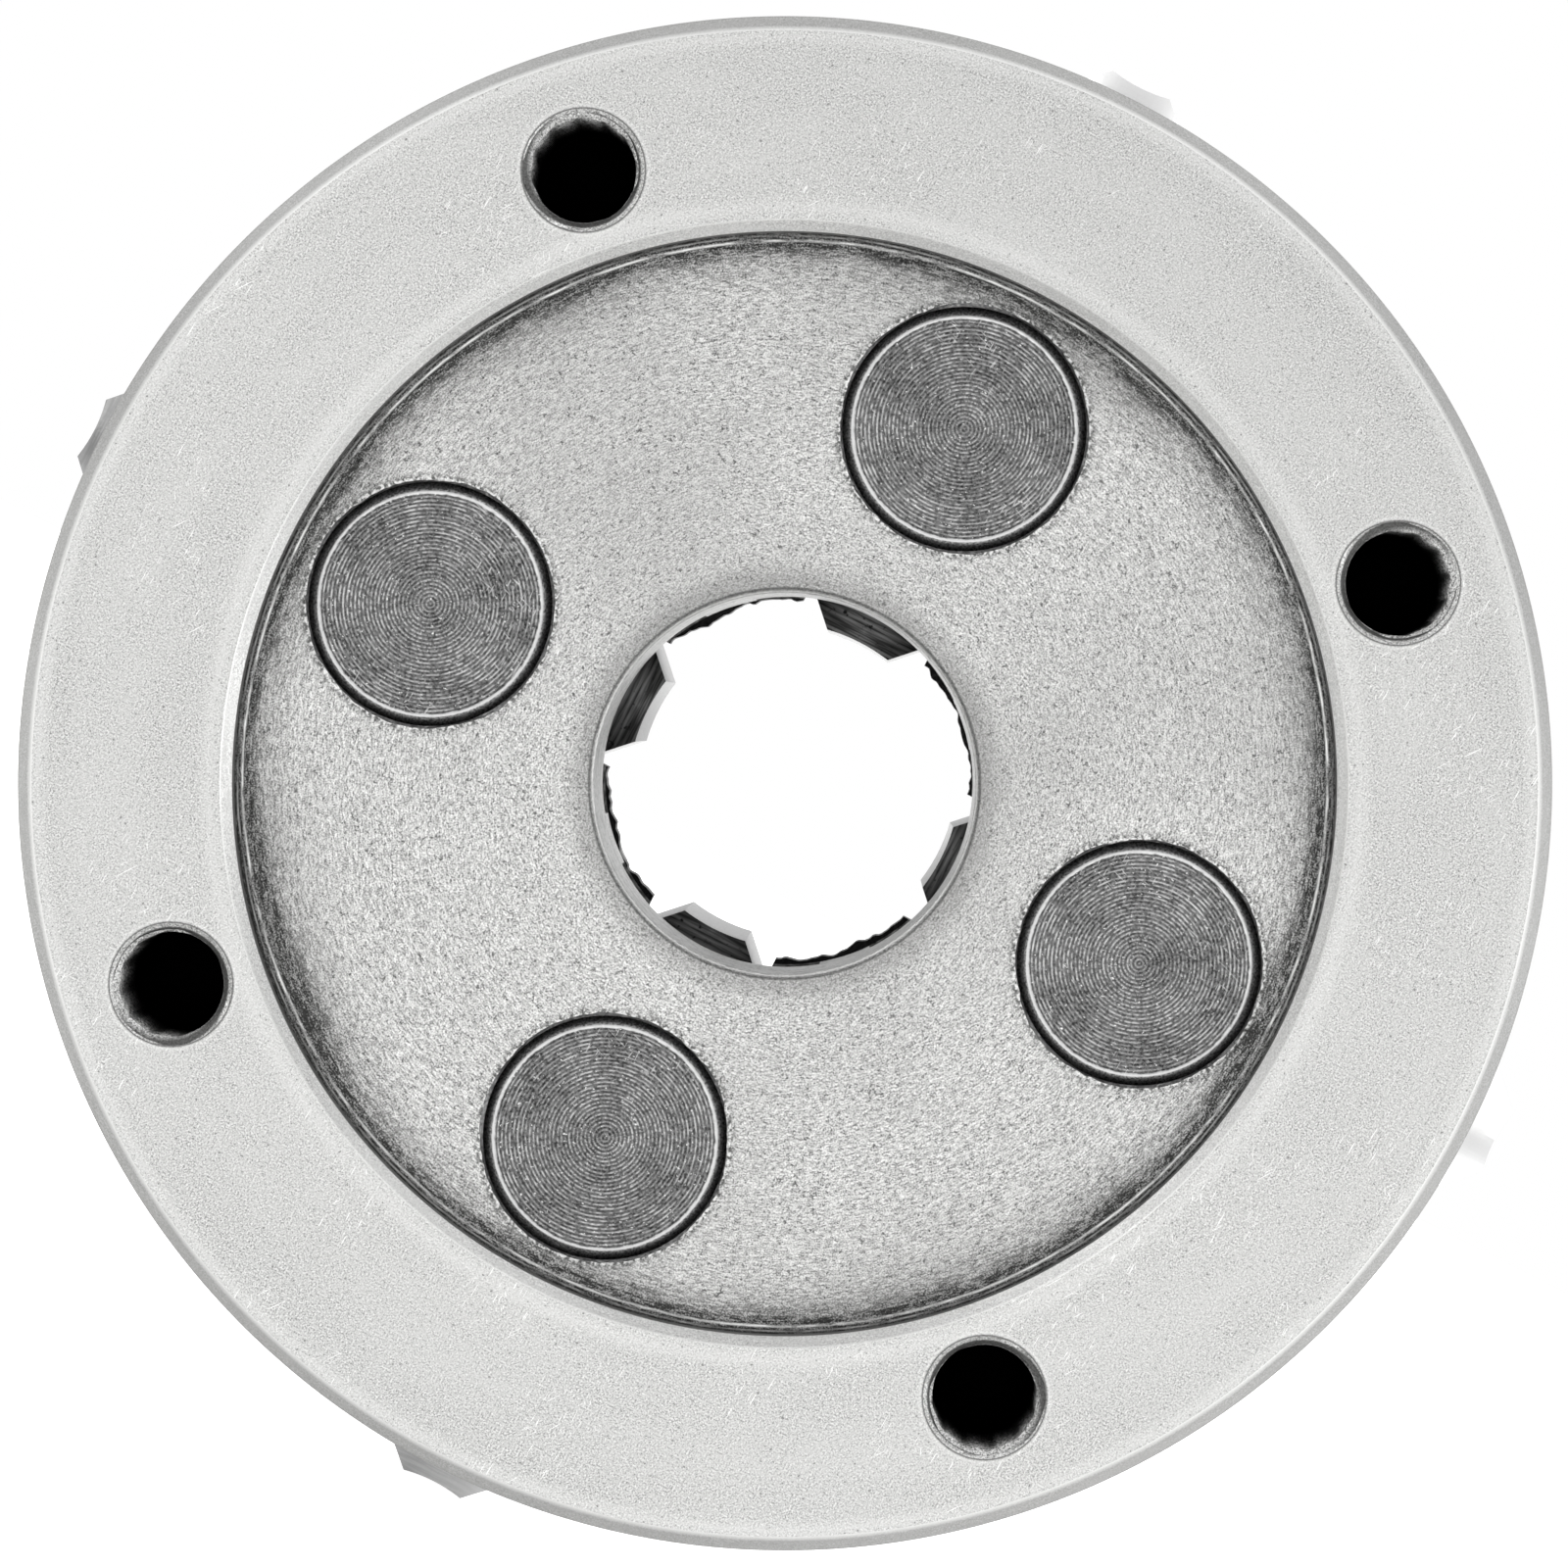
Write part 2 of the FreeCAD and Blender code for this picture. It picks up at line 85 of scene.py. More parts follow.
BORE_RADIUS = 12.5
BORE_CHAMFER = 0.28
REAR_CHAMFER = 1.0
FRONT_CHAMFER = 1.5
REGISTER_DEPTH = 3.0
REGISTER_CHAMFER = 0.75
RIB_BORE_RADIUS = 12.27
RING_RADII = (24.0, 33.0, 42.0)
RING_DEPTH = 0.5
SLOT_HALF = 7.5
SLOT_FLOOR = 21.0
SLOT_EDGE = 0.3
RIB_START = 27.0
RIB_END = 31.0
RIB_GAP_HALF = 4.7
SCREW_BORE_RADIUS = 6.85
SCREW_BORE_END = 15.5
PIN_HOLE_RADIUS = 8.0
PIN_HOLE_EDGE = 0.14
PIN_CHAMFER = 0.6
PIN_COLLAR = 4.8
PIN_RIDGE_PITCH = 0.26
PIN_RIDGE_HEIGHT = 0.03
PIN_RIDGE_FLANKS = (0.30, 0.50, 0.70)  # where a groove starts, bottoms and ends
PIN_EDGE_RING = 0.17
NECK_RADIUS = 4.1
TAP_MOUTH_RADIUS = 4.0
TAP_DEPTH = 18.0
TAP_PITCH = 1.25
TAP_MAJOR = 4.0
THREAD_DEPTH = 15.0
THREAD_FLANK = 0.375  # half a thread's width at its foot, as a share of the pitch
DRILL_HALF_POINT = 59.0  # degrees, for the usual 118 degree drill
SLOT_DIRECTIONS = (
    Vector((0, 0, 1)),
    Vector((-1, 0, 0)),
    Vector((0, 0, -1)),
    Vector((1, 0, 0)),
)

# a bolt hole's distance from the axis along X, and along Z
bolt_side = bolt_radius * math.sqrt(0.5)


# ---------------------------------------------------------------- camera and stage
# The view is square on to the rear face, from a little over half a metre away, and
# rolled so that the slot of jaw 1 leans to the right.
VIEW_DISTANCE = 550.0
VIEW_WIDTH = 101.98  # how much of the rear face's plane the frame takes in
ROLL = math.radians(26.9)
SIDE_STEP = 6.4
RISE = 4.0
SENSOR = 36.0

view_right = Vector((math.cos(ROLL), 0, math.sin(ROLL)))
view_up = Vector((-math.sin(ROLL), 0, math.cos(ROLL)))


def aim(thing, target, up):
    """Point a camera or lamp at a place, with a chosen direction upwards."""
    back = (thing.location - target).normalized()
    right = up.cross(back).normalized()
    true_up = back.cross(right)
    turn = Matrix((right, true_up, back)).transposed()
    thing.rotation_mode = "QUATERNION"
    thing.rotation_quaternion = turn.to_quaternion()


def make_camera():
    camera = bpy.data.objects.new("Camera", bpy.data.cameras.new("Camera"))
    bpy.context.scene.collection.objects.link(camera)
    camera.data.sensor_width = SENSOR
    camera.data.lens = SENSOR * VIEW_DISTANCE / VIEW_WIDTH
    camera.data.clip_start = 10 * MM
    camera.data.clip_end = 50
    step = view_right * SIDE_STEP + view_up * RISE
    camera.location = (step - Vector((0, VIEW_DISTANCE, 0))) * MM
    aim(camera, Vector((0, 0, 0)), view_up)
    bpy.context.scene.camera = camera


def rgb(code):
    """A linear colour from an sRGB hex code."""
    parts = [int(code[i : i + 2], 16) / 255 for i in (1, 3, 5)]
    linear = [c / 12.92 if c <= 0.04045 else ((c + 0.055) / 1.055) ** 2.4 for c in parts]
    return linear + [1.0]


class Tree:
    """A material's or world's node tree, filled one node at a time."""

    def __init__(self, owner):
        owner.use_nodes = True
        self.nodes = owner.node_tree.nodes
        self.links = owner.node_tree.links
        self.nodes.clear()

    def add(self, kind, *given, out=None, named=None, **settings):
        """Add one node and return its output, the first one or the one called out.
        given fills the inputs in order and named fills them by name, each with a
        constant or with another node's output."""
        node = self.nodes.new("ShaderNode" + kind)
        for name, setting in settings.items():
            setattr(node, name, setting)
        sockets = [socket for socket in node.inputs if socket.enabled]
        filled = list(zip(sockets, given))
        filled += [(node.inputs[name], value) for name, value in (named or {}).items()]
        for socket, value in filled:
            if isinstance(value, bpy.types.NodeSocket):
                self.links.new(value, socket)
            else:
                socket.default_value = value
        for socket in node.outputs:
            if socket.enabled and out in (None, socket.name):
                return socket
        return None


def make_world():
    """White behind the object, and a pale studio that is brightest overhead."""
    world = bpy.data.worlds.new("Studio")
    bpy.context.scene.world = world
    tree = Tree(world)
    place = tree.add("TexCoord", out="Generated")
    along = tree.add("Math", tree.add("SeparateXYZ", place, out="Y"), operation="ABSOLUTE")
    around = tree.add("MapRange", along, 0.0, 0.9, 1.10, 0.84)
    upward = tree.add("SeparateXYZ", place, out="Z")
    above = tree.add("MapRange", upward, 0.0, 1.0, 0.0, 0.55)
    level = tree.add("Math", around, above, operation="ADD")
    light = tree.add("Background", rgb("#FFFFFF"), level)
    seen = tree.add("Background", rgb("#FFFFFF"), 1.0)
    watched = tree.add("LightPath", out="Is Camera Ray")
    tree.add("OutputWorld", tree.add("MixShader", watched, light, seen))


def make_lamp(name, place_mm, size_mm, power):
    """A square soft box that faces the chuck."""
    lamp = bpy.data.objects.new(name, bpy.data.lights.new(name, "AREA"))
    bpy.context.scene.collection.objects.link(lamp)
    lamp.data.size = size_mm * MM
    lamp.data.energy = power
    lamp.location = Vector(place_mm) * MM
    aim(lamp, Vector((0, 0, 0)), Vector((0, 1, 0)))


def make_floor():
    """Pale paper just under the lowest jaw, lit a little from below so that it stays
    white to its edge."""
    half = 2.0
    mesh = bpy.data.meshes.new("Floor")
    height = cad_box[0].z - 0.5 * MM
    corners = [(-half, -half), (half, -half), (half, half), (-half, half)]
    mesh.from_pydata([(x, y, height) for x, y in corners], [], [(0, 1, 2, 3)])
    floor = bpy.data.objects.new("Floor", mesh)
    bpy.context.scene.collection.objects.link(floor)
    paint = bpy.data.materials.new("floor_paper")
    tree = Tree(paint)
    grain = tree.add("TexNoise", tree.add("TexCoord", out="Object"), 400.0)
    tint = tree.add("Mix", grain, rgb("#C4C4C3"), rgb("#CCCCCB"), data_type="RGBA")
    glow = {"Roughness": 0.9, "Emission Color": rgb("#FFFFFF"), "Emission Strength": 0.88}
    tree.add("OutputMaterial", tree.add("BsdfPrincipled", tint, named=glow))
    mesh.materials.append(paint)


make_camera()
make_world()
make_lamp("KeyLight", (120, -520, 880), 500, 2.0)
make_lamp("LeftLight", (-850, -300, 400), 500, 2.0)
make_lamp("RightLight", (850, -300, 250), 500, 2.6)
make_lamp("FrontLight", (500, 800, 500), 700, 2.6)
make_floor()
bpy.context.scene.view_settings.view_transform = "Standard"


# ---------------------------------------------------------------- patterns
def turned_place(tree, centre_mm=(0, 0)):
    """Where a point lies on a turned part: its place in mm, its distance from the axis
    in mm, and the direction it lies in from the axis, which has no seam."""
    point = tree.add("VectorMath", tree.add("TexCoord", out="Object"), 1 / MM, operation="SCALE")
    centre = (centre_mm[0], 0, centre_mm[1])
    moved = tree.add("VectorMath", point, centre, operation="SUBTRACT")
    flat = tree.add("VectorMath", moved, (1, 0, 1), operation="MULTIPLY")
    radius = tree.add("VectorMath", flat, operation="LENGTH")
    way = tree.add("VectorMath", flat, operation="NORMALIZE")
    return point, radius, way


def cut_grain(tree, radius, way, at_mm, length_mm, width_mm, detail=2.0):
    """Streaks drawn out along the tool's path round a turned face. They are length_mm
    long where the face's radius is at_mm, and width_mm wide."""
    around = tree.add("VectorMath", way, at_mm / length_mm, operation="SCALE")
    out = tree.add("Math", radius, 1 / width_mm, operation="MULTIPLY")
    where = tree.add("VectorMath", around, tree.add("CombineXYZ", 0.0, out, 0.0), operation="ADD")
    return tree.add("TexNoise", where, 1.0, detail, 0.6)


def flecks(tree, point, size_mm, low=0.36, high=0.64, detail=2.0):
    """Spots of about size_mm, from 0 to 1. The nearer low is to high, the harder they
    are, and the higher both are, the fewer."""
    spots = tree.add("TexNoise", point, 1 / size_mm, detail, 0.6)
    return tree.add("MapRange", spots, low, high)


def scratches(tree, point, turn, length_mm, width_mm, rarity):
    """Short thin scores that lie roughly one way and come in a few clusters."""
    laid = tree.add(
        "Mapping",
        point,
        (0, 0, 0),
        (0, math.radians(turn), 0),
        (length_mm, 1, width_mm),
        vector_type="TEXTURE",
    )
    line = tree.add("TexNoise", laid, 1.0, 0.0)
    strong = tree.add("MapRange", line, rarity, rarity + 0.03)
    cluster = tree.add("MapRange", tree.add("TexNoise", point, 0.11, 1.0), 0.50, 0.60)
    return tree.add("Math", strong, cluster, operation="MULTIPLY")


def scored(tree, colour, point, scores, share, tone):
    """A colour with clusters of scores laid over it. Each of scores is the way they lie
    in degrees, their length in mm and their rarity."""
    for turn, length_mm, rarity in scores:
        score = scratches(tree, point, turn, length_mm, SCORE_WIDTH, rarity)
        strength = tree.add("Math", score, share, operation="MULTIPLY")
        colour = layered(tree, colour, (strength, tone))
    return colour


def near_ring(tree, radius, at_mm, half_mm, strength=1.0):
    """A soft line round a turned face: strongest at one radius, gone half_mm away."""
    off = tree.add("Math", radius, at_mm, operation="SUBTRACT")
    off = tree.add("Math", off, operation="ABSOLUTE")
    return tree.add("MapRange", off, 0.0, half_mm, strength, 0.0)


def layered(tree, colour, *layers):
    """One colour laid over another in turn, each as thickly as its share says."""
    for share, over in layers:
        colour = tree.add("Mix", share, colour, over, data_type="RGBA")
    return colour


def folded(tree, point):
    """The larger and the smaller of a point's two distances across the axis, which are
    its distances along and across whichever slot it lies in."""
    whole = tree.add("VectorMath", point, operation="ABSOLUTE")
    across = tree.add("SeparateXYZ", whole, out="X")
    upward = tree.add("SeparateXYZ", whole, out="Z")
    larger = tree.add("Math", across, upward, operation="MAXIMUM")
    smaller = tree.add("Math", across, upward, operation="MINIMUM")
    return larger, smaller


def from_pin(tree, point):
    """A point's distance from the nearest thrust pin's axis, in mm."""
    along, across = folded(tree, point)
    along = tree.add("Math", along, pin_circle_radius, operation="SUBTRACT")
    return tree.add("VectorMath", tree.add("CombineXYZ", along, 0.0, across), operation="LENGTH")


def from_bolt(tree, point):
    """A point's distance from the nearest bolt hole's axis, in mm."""
    whole = tree.add("VectorMath", point, operation="ABSOLUTE")
    flat = tree.add("VectorMath", whole, (1, 0, 1), operation="MULTIPLY")
    moved = tree.add("VectorMath", flat, (bolt_side, 0, bolt_side), operation="SUBTRACT")
    return tree.add("VectorMath", moved, operation="LENGTH")


def finish_metal(tree, colour, roughness, relief, depth_mm, lay=0.0):
    """The shader of a bare metal, with its relief. lay is how strongly the feed lines,
    which run round Y, draw its highlights out across them."""
    normal = tree.add("Bump", named={"Height": relief, "Distance": depth_mm * MM})
    looks = {"Metallic": 1.0, "Roughness": roughness, "Normal": normal}
    if lay:
        around = tree.add("Tangent", direction_type="RADIAL", axis="Y")
        looks |= {"Anisotropic": lay, "Tangent": around}
    tree.add("OutputMaterial", tree.add("BsdfPrincipled", colour, named=looks))


# ---------------------------------------------------------------- finishes
# Graphite flakes in grey iron are 0.03 to 0.2 mm long. The finest would not show, so
# they are drawn 0.12 mm across.
FLAKE = 0.12
FEED = 0.14  # the finishing tool's advance in one turn
ROUGH_FEED = 0.20
FEED_LAY = 0.5  # how far the feed lines draw out a highlight
FACE_MIDDLE = 42.0  # radii at which each face's streaks have their stated length
RECESS_MIDDLE = 25.0
CORNER_START = 35.0
RIM_MIDDLE = 49.0
PIN_MIDDLE = 4.0
INNER_POLISH = 37.5  # rings of the rear face that handling has rubbed lighter
OUTER_POLISH = 48.6
CORNER_LINE = 35.72  # painted highlights in the register's corner
WALL_LINE = 36.04
SCORE_WIDTH = 0.09


def make_turned_iron():
    """Grey cast iron, finish-turned: an even light grey, salted with graphite flakes and
    lined round by the feed, with a few small pores and clusters of handling scratches."""
    paint = bpy.data.materials.new("grey_iron_turned")
    tree = Tree(paint)
    point, radius, way = turned_place(tree)
    flakes = flecks(tree, point, FLAKE)
    grain = cut_grain(tree, radius, way, FACE_MIDDLE, 0.9, FEED)
    broad = cut_grain(tree, radius, way, FACE_MIDDLE, 16.0, 5.0)
    pores = flecks(tree, point, 0.24, 0.66, 0.72, 1.0)
    colour = layered(
        tree,
        rgb("#787877"),
        (flakes, rgb("#DADAD9")),
        (tree.add("MapRange", grain, 0.38, 0.62, 0.0, 0.50), rgb("#B9B9B8")),
        (tree.add("MapRange", broad, 0.32, 0.68, 0.0, 0.35), rgb("#C2C2C1")),
        (near_ring(tree, radius, INNER_POLISH, 0.9, 0.35), rgb("#D0D0CF")),
        (near_ring(tree, radius, OUTER_POLISH, 0.7, 0.35), rgb("#D0D0CF")),
        (tree.add("Math", pores, 0.7, operation="MULTIPLY"), rgb("#4E4E4D")),
    )
    scores = [(93, 1.4, 0.735), (126, 2.2, 0.765), (62, 0.9, 0.765)]
    colour = scored(tree, colour, point, scores, 0.8, rgb("#EAEAE9"))

    # painted shadow: a thin dark outline round each bolt hole on the rear face, with a lighter
    # ring just outside it
    reach = from_bolt(tree, point)
    rear = tree.add("MapRange", tree.add("SeparateXYZ", point, out="Y"), 0.5, 1.0, 1.0, 0.0)
    outline = near_ring(tree, reach, TAP_MOUTH_RADIUS + 0.04, 0.12, 0.85)
    halo = near_ring(tree, reach, TAP_MOUTH_RADIUS + 0.24, 0.16, 0.35)
    colour = layered(
        tree,
        colour,
        (tree.add("Math", outline, rear, operation="MULTIPLY"), rgb("#3C3C3B")),
        (tree.add("Math", halo, rear, operation="MULTIPLY"), rgb("#D8D8D7")),
    )
    relief = tree.add("Math", grain, 0.7, flakes, operation="MULTIPLY_ADD")
    gloss = tree.add("MapRange", flakes, 0.0, 1.0, 0.50, 0.42)
    finish_metal(tree, colour, gloss, relief, 0.007, FEED_LAY)
    return paint


def make_recess_iron():
    """Grey cast iron, rough-turned: the torn grain is strongly flecked, and grime has
    settled in the register's corner and round the bore and the pins."""
    paint = bpy.data.materials.new("grey_iron_rough")
    tree = Tree(paint)
    point, radius, way = turned_place(tree)
    torn = cut_grain(tree, radius, way, RECESS_MIDDLE, 0.40, 0.13)
    torn = tree.add("MapRange", torn, 0.38, 0.62)
    flakes = flecks(tree, point, FLAKE, 0.40, 0.60, 1.0)
    grit = tree.add("Mix", 0.5, torn, flakes, data_type="FLOAT")
    grain = cut_grain(tree, radius, way, RECESS_MIDDLE, 1.2, ROUGH_FEED)
    cloud = tree.add("TexNoise", point, 0.045, 2.0)
    pores = flecks(tree, point, 0.26, 0.63, 0.68, 2.0)
    colour = layered(
        tree,
        rgb("#5E5E5D"),
        (grit, rgb("#E6E6E5")),
        (tree.add("MapRange", grain, 0.34, 0.66, 0.0, 0.40), rgb("#B4B4B3")),
        (tree.add("MapRange", cloud, 0.35, 0.62, 0.35, 0.0), rgb("#929291")),
        (tree.add("Math", pores, 0.75, operation="MULTIPLY"), rgb("#3E3E3E")),
    )
    scores = [(93, 1.6, 0.755), (150, 1.6, 0.765)]
    colour = scored(tree, colour, point, scores, 0.6, rgb("#E6E6E5"))

    # grime is heaviest against the register's wall, and ragged where it thins out
    patches = cut_grain(tree, radius, way, CORNER_START, 20.0, 20.0, 3.0)
    streaks = cut_grain(tree, radius, way, CORNER_START, 2.2, 0.40, 3.0)
    waver = tree.add("MapRange", patches, 0.30, 0.70, -0.7, 0.9)
    reach = tree.add("Math", radius, waver, operation="ADD")
    depth = tree.add("MapRange", reach, 31.0, 35.4, 0.0, 0.85)
    depth = tree.add("Math", depth, 1.9, operation="POWER")
    ragged = tree.add("Math", streaks, 0.6, radius, operation="MULTIPLY_ADD")
    ragged = tree.add("Math", ragged, waver, operation="ADD")
    core = tree.add("MapRange", ragged, 33.8, 35.3, 0.0, 0.95)
    depth = tree.add("Math", depth, core, operation="MAXIMUM")
    clumps = tree.add("Math", grit, -0.55, streaks, operation="MULTIPLY_ADD")
    clumps = tree.add("MapRange", clumps, 0.0, 0.34, 0.55, 1.0)
    soil = tree.add("Math", depth, clumps, operation="MULTIPLY")
    soil = tree.add("Math", soil, 0.92, operation="MINIMUM")

    # narrow painted highlights just short of the wall, where a rounded corner would catch the
    # light
    nearly = tree.add("Math", patches, 0.5, radius, operation="MULTIPLY_ADD")
    gleam = tree.add("MapRange", streaks, 0.34, 0.60)
    corner_highlight = near_ring(tree, nearly, CORNER_LINE, 0.13)
    corner_highlight = tree.add("Math", corner_highlight, gleam, operation="MULTIPLY")
    wall_highlight = near_ring(tree, nearly, WALL_LINE, 0.09, 0.6)
    wall_highlight = tree.add("Math", wall_highlight, gleam, operation="MULTIPLY")
    soft = {"interpolation_type": "SMOOTHSTEP"}
    bore_dirt = tree.add("MapRange", radius, 12.9, 15.0, 0.50, 0.0, **soft)

    # a ragged burr, dark with a few bright edges, stands round each pin's hole
    around_pin = from_pin(tree, point)
    burr = flecks(tree, point, 0.30, 0.44, 0.56, 3.0)
    edge = near_ring(tree, around_pin, PIN_HOLE_RADIUS + 0.25, 0.45)
    dark_edge = tree.add("Math", edge, burr, operation="MULTIPLY")
    lit_edge = near_ring(tree, around_pin, PIN_HOLE_RADIUS + 0.20, 0.15, 0.65)
    bare = tree.add("MapRange", burr, 0.0, 1.0, 1.0, 0.0)
    lit_edge = tree.add("Math", lit_edge, bare, operation="MULTIPLY")
    # a thin dark line round the bore chamfer's outer edge, and a painted highlight along its inner
    # edge
    bore_outline = near_ring(tree, radius, BORE_RADIUS + BORE_CHAMFER + 0.02, 0.12, 0.75)
    bore_edge = near_ring(tree, radius, BORE_RADIUS + 0.08, 0.10, 0.7)
    colour = layered(
        tree,
        colour,
        (soil, rgb("#222221")),
        # painted shade at the foot of the register's wall
        (tree.add("MapRange", nearly, 35.85, 36.05, 0.0, 0.55), rgb("#2A2A29")),
        (corner_highlight, rgb("#F0F0EF")),
        (wall_highlight, rgb("#C8C8C7")),
        (bore_dirt, rgb("#6E6E6D")),
        (bore_outline, rgb("#3A3A39")),
        (bore_edge, rgb("#E2E2E1")),
        (tree.add("Math", dark_edge, 0.85, operation="MULTIPLY"), rgb("#383837")),
        (lit_edge, rgb("#E6E6E5")),
    )
    relief = tree.add("Math", grain, 0.5, grit, operation="MULTIPLY_ADD")
    gloss = tree.add("MapRange", grit, 0.0, 1.0, 0.60, 0.45)
    finish_metal(tree, colour, gloss, relief, 0.014, FEED_LAY)
    return paint


def make_rim_iron():
    """The same iron on the chamfers, the register's wall and the outside: a shade duller,
    banded by the tool, with painted highlights on the edges between faces and painted
    shade down the register's wall."""
    paint = bpy.data.materials.new("grey_iron_rim")
    tree = Tree(paint)
    point, radius, way = turned_place(tree)
    height = tree.add("SeparateXYZ", point, out="Y")
    bands = cut_grain(tree, height, way, RIM_MIDDLE, 3.5, 0.25, 3.0)
    flakes = flecks(tree, point, FLAKE, 0.34, 0.66)
    rear_edge = body_radius - REAR_CHAMFER
    outside = tree.add("MapRange", radius, rear_edge - 0.1, rear_edge)
    dulled = tree.add("MapRange", height, REAR_CHAMFER - 0.1, REAR_CHAMFER + 0.1, 0.55, 0.80)
    coarse = cut_grain(tree, height, way, RIM_MIDDLE, 9.0, 0.9, 3.0)
    colour = layered(
        tree,
        rgb("#8C8C8B"),
        (flakes, rgb("#C9C9C8")),
        (tree.add("MapRange", bands, 0.35, 0.65, 0.0, 0.55), rgb("#A8A8A7")),
        (tree.add("MapRange", coarse, 0.35, 0.65, 0.0, 0.35), rgb("#BABAB9")),
        (tree.add("Math", outside, dulled, operation="MULTIPLY"), rgb("#727271")),
    )
    # painted highlights along the edge of the register's chamfer and of the rear chamfer
    for edge, half_mm in ((register_radius + REGISTER_CHAMFER, 0.14), (rear_edge, 0.35)):
        wear_and_highlight = near_ring(tree, radius, edge, half_mm, 0.6)
        colour = layered(tree, colour, (wear_and_highlight, rgb("#DEDEDD")))
    # painted shade down the register's wall, below its chamfer
    wall = tree.add("MapRange", height, 0.70, 1.3, 0.0, 0.75)
    inside = tree.add("MapRange", radius, register_radius, register_radius + 0.2, 1.0, 0.0)
    wall = tree.add("Math", wall, inside, operation="MULTIPLY")
    colour = layered(tree, colour, (wall, rgb("#4A4A49")))
    gloss = tree.add("MapRange", bands, 0.0, 1.0, 0.38, 0.54)
    finish_metal(tree, colour, gloss, bands, 0.010)
    return paint


def make_milled_iron():
    """Iron left by the cutter in the jaw slots: dark with oil, with the arcs of the feed
    across it."""
    paint = bpy.data.materials.new("grey_iron_milled")
    tree = Tree(paint)
    point, _, _ = turned_place(tree)
    flakes = flecks(tree, point, 0.28, 0.30, 0.70, 3.0)
    along, across = folded(tree, point)
    laid = tree.add("CombineXYZ", along, across, 0.0)
    arcs = {"Scale": 0.55, "Distortion": 3.0, "Detail": 2.0, "Detail Scale": 1.5}
    feed = tree.add("TexWave", laid, named=arcs, out="Fac")
    colour = layered(
        tree,
        rgb("#4E4E4D"),
        (flakes, rgb("#787877")),
        (tree.add("MapRange", feed, 0.3, 0.9, 0.0, 0.35), rgb("#8E8E8D")),
    )
    relief = tree.add("Math", flakes, 0.5, feed, operation="MULTIPLY_ADD")
    gloss = tree.add("MapRange", flakes, 0.0, 1.0, 0.55, 0.38)
    finish_metal(tree, colour, gloss, relief, 0.012)
    return paint


def make_tapped_iron():
    """The wall of a blind tapped hole: bright and ringed at the countersink, its first
    threads catching some light, and carrying painted shade that deepens to black below."""
    paint = bpy.data.materials.new("grey_iron_tapped")
    tree = Tree(paint)
    point, _, _ = turned_place(tree)
    depth = tree.add("SeparateXYZ", point, out="Y")
    flakes = flecks(tree, point, FLAKE, 0.32, 0.68, 3.0)
    sink = layered(tree, rgb("#6A6A69"), (flakes, rgb("#F0F0EF")))
    wall = layered(tree, rgb("#3E3E3D"), (flakes, rgb("#D8D8D7")))
    colour = layered(
        tree,
        sink,
        (tree.add("MapRange", depth, 0.20, 0.30, 0.0, 0.9), rgb("#343433")),
        (tree.add("MapRange", depth, 0.50, 0.75), wall),
        # painted shade, deepening to black down the hole
        (tree.add("MapRange", depth, 1.2, 13.0, 0.05, 1.0), rgb("#060606")),
    )
    finish_metal(tree, colour, 0.42, flakes, 0.02)
    return paint


def make_drilled_iron():
    """Where the iron was drilled and broken through: the walls of the thrust pins' holes
    hold oil and swarf dust, and the ledges left in the bore carry near-black painted shade."""
    paint = bpy.data.materials.new("grey_iron_drilled")
    tree = Tree(paint)
    point, radius, _ = turned_place(tree)
    dust = flecks(tree, point, 0.25, 0.35, 0.70, 3.0)
    swarf = flecks(tree, point, 0.45, 0.62, 0.70, 1.0)
    # painted shade on the ledges in the bore, near black
    ledge_shade = tree.add("MapRange", radius, BORE_RADIUS + 0.1, BORE_RADIUS + 0.5, 0.95, 0.0)
    colour = layered(
        tree,
        rgb("#4E4E4E"),
        (dust, rgb("#8C8C8C")),
        (tree.add("Math", swarf, 0.8, operation="MULTIPLY"), rgb("#AAAAA9")),
        (ledge_shade, rgb("#121212")),
    )
    finish_metal(tree, colour, 0.5, dust, 0.02)
    return paint


def make_bore_iron():
    """The reamed wall of the through hole: light, with scattered dark pores."""
    paint = bpy.data.materials.new("grey_iron_reamed")
    tree = Tree(paint)
    point, _, _ = turned_place(tree)
    pores = flecks(tree, point, 0.42, 0.56, 0.64)
    flakes = flecks(tree, point, FLAKE, 0.3, 0.7)
    patches = flecks(tree, point, 2.8, 0.45, 0.65, 3.0)
    colour = layered(
        tree,
        rgb("#8A8A89"),
        (flakes, rgb("#C4C4C3")),
        (tree.add("Math", patches, 0.5, operation="MULTIPLY"), rgb("#6A6A69")),
        (tree.add("Math", pores, 0.9, operation="MULTIPLY"), rgb("#2A2A29")),
    )
    finish_metal(tree, colour, 0.45, flakes, 0.008)
    return paint


